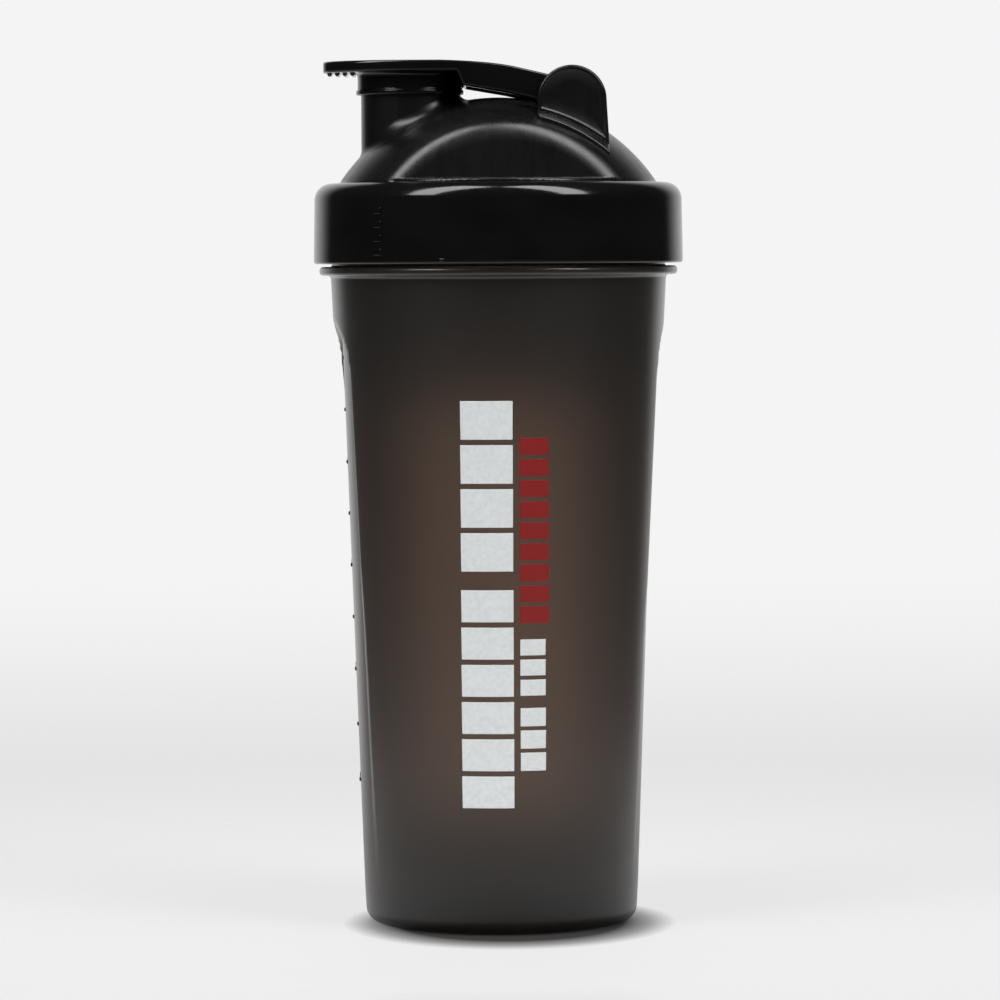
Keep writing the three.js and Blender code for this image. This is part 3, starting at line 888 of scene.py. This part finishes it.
def lights():
    """Two soft boxes over the front, and a warm glow inside the tumbler, behind its front wall."""
    top = Vector((0, 0, 0.18))
    area_light("overhead_left", (-0.5, -0.42, 1.0), top, 0.34, 1.2, 10)
    area_light("overhead_right", (0.5, -0.42, 1.0), top, 0.34, 1.2, 10)
    glow = area_light("inner_glow", (0, 0.022, 0.076), (0, -1, 0.076), 0.046, 0.104, 0.018)
    glow.data.color = (1.0, 0.72, 0.55)
    glow.visible_glossy = glow.visible_diffuse = False


def world():
    """White paper behind the bottle in a dark room, and an even pale backdrop for the camera."""
    made = bpy.data.worlds.new("studio")
    made.use_nodes = True
    tree = made.node_tree
    tree.nodes.clear()
    place = tree.nodes.new("ShaderNodeTexCoord")
    parts = tree.nodes.new("ShaderNodeSeparateXYZ")
    tree.links.new(place.outputs["Generated"], parts.inputs["Vector"])

    def background(axis, start, end, low, high):
        ramp = tree.nodes.new("ShaderNodeMapRange")
        ramp.interpolation_type = "SMOOTHSTEP"
        for key, number in (("From Min", start), ("From Max", end), ("To Min", low), ("To Max", high)):
            ramp.inputs[key].default_value = number
        tree.links.new(parts.outputs[axis], ramp.inputs["Value"])
        node = tree.nodes.new("ShaderNodeBackground")
        node.inputs["Color"].default_value = (1, 1, 1, 1)
        tree.links.new(ramp.outputs["Result"], node.inputs["Strength"])
        return node.outputs["Background"]

    room = background("Y", 0.62, 0.9, 0.025, 0.85)
    table = background("Z", -0.1, -0.3, 0.0, 0.25)
    both = tree.nodes.new("ShaderNodeAddShader")
    tree.links.new(room, both.inputs[0])
    tree.links.new(table, both.inputs[1])
    paper = background("Z", -0.108, -0.062, 0.77, 0.905)
    path = tree.nodes.new("ShaderNodeLightPath")
    mix = tree.nodes.new("ShaderNodeMixShader")
    out = tree.nodes.new("ShaderNodeOutputWorld")
    tree.links.new(path.outputs["Is Camera Ray"], mix.inputs["Fac"])
    dim = tree.nodes.new("ShaderNodeBackground")
    dim.inputs["Color"].default_value = (0.04, 0.04, 0.04, 1)
    through = tree.nodes.new("ShaderNodeMixShader")
    tree.links.new(path.outputs["Is Transmission Ray"], through.inputs["Fac"])
    tree.links.new(both.outputs["Shader"], through.inputs[1])
    tree.links.new(dim.outputs["Background"], through.inputs[2])
    tree.links.new(through.outputs["Shader"], mix.inputs[1])
    tree.links.new(paper, mix.inputs[2])
    tree.links.new(mix.outputs["Shader"], out.inputs["Surface"])
    bpy.context.scene.world = made


FLOOR_FADE = (0.12, 0.4)  # solid up to the first distance from the axis, and gone at the second
# painted contact shadow on the floor: its centre, the distances over which it fades out, and how much it is
# narrowed across
SHADOW_CENTRE, SHADOW_EDGE, SHADOW_SQUEEZE = (0.0025, -0.006, 0), (0.034, 0.05), 1.22


def floor():
    """A pale floor, mostly lit from itself, with a painted contact shadow under the bottle.

    It fades into the backdrop.
    """
    radius = 450.0
    outline = np.array([(0, -20.0), (radius, -20.0), (radius, 0.0), (0, 0.0)])
    made = mesh_object("floor", revolve(outline, 96, False))
    m = Nodes("floor")
    m.set(Roughness=0.8)
    length = m.add("ShaderNodeVectorMath", operation="LENGTH")
    m.link(m.place, length.inputs[0])
    m.link(m.spread(length.outputs["Value"], 1, 0, *FLOOR_FADE), m.shader.inputs["Alpha"])
    apart = m.add("ShaderNodeVectorMath", operation="DISTANCE")
    narrow = m.add("ShaderNodeMapping")
    narrow.inputs["Scale"].default_value = (SHADOW_SQUEEZE, 1, 1)
    m.link(m.place, narrow.inputs["Vector"])
    m.link(narrow.outputs["Vector"], apart.inputs[0])
    apart.inputs[1].default_value = SHADOW_CENTRE
    near = m.spread(apart.outputs["Value"], 0, 1, *SHADOW_EDGE)
    # painted shadow: the floor's colour and glow drop almost to black under the bottle's foot
    shade = m.ramp(near, (0, (0.004, 0.004, 0.004)), (0.5, (0.05, 0.05, 0.05)), (1, (0.13, 0.13, 0.13)))
    m.link(shade, m.shader.inputs["Base Color"])
    m.link(shade, m.shader.inputs["Emission Color"])
    m.set(Emission_Strength=5.2)
    made.data.materials.append(m.material)


camera()
lights()
world()
floor()
cup()
prints()
BLACK = (0.0045, 0.0045, 0.005)
lid(gloss_black("lid_plastic", BLACK, 0.13, (1, 1, 2), 0.16))
flip_cap(gloss_black("cap_plastic", BLACK, 0.15, (1, 2, 1)))
carried_nodes()
bpy.context.scene.view_settings.view_transform = "Standard"
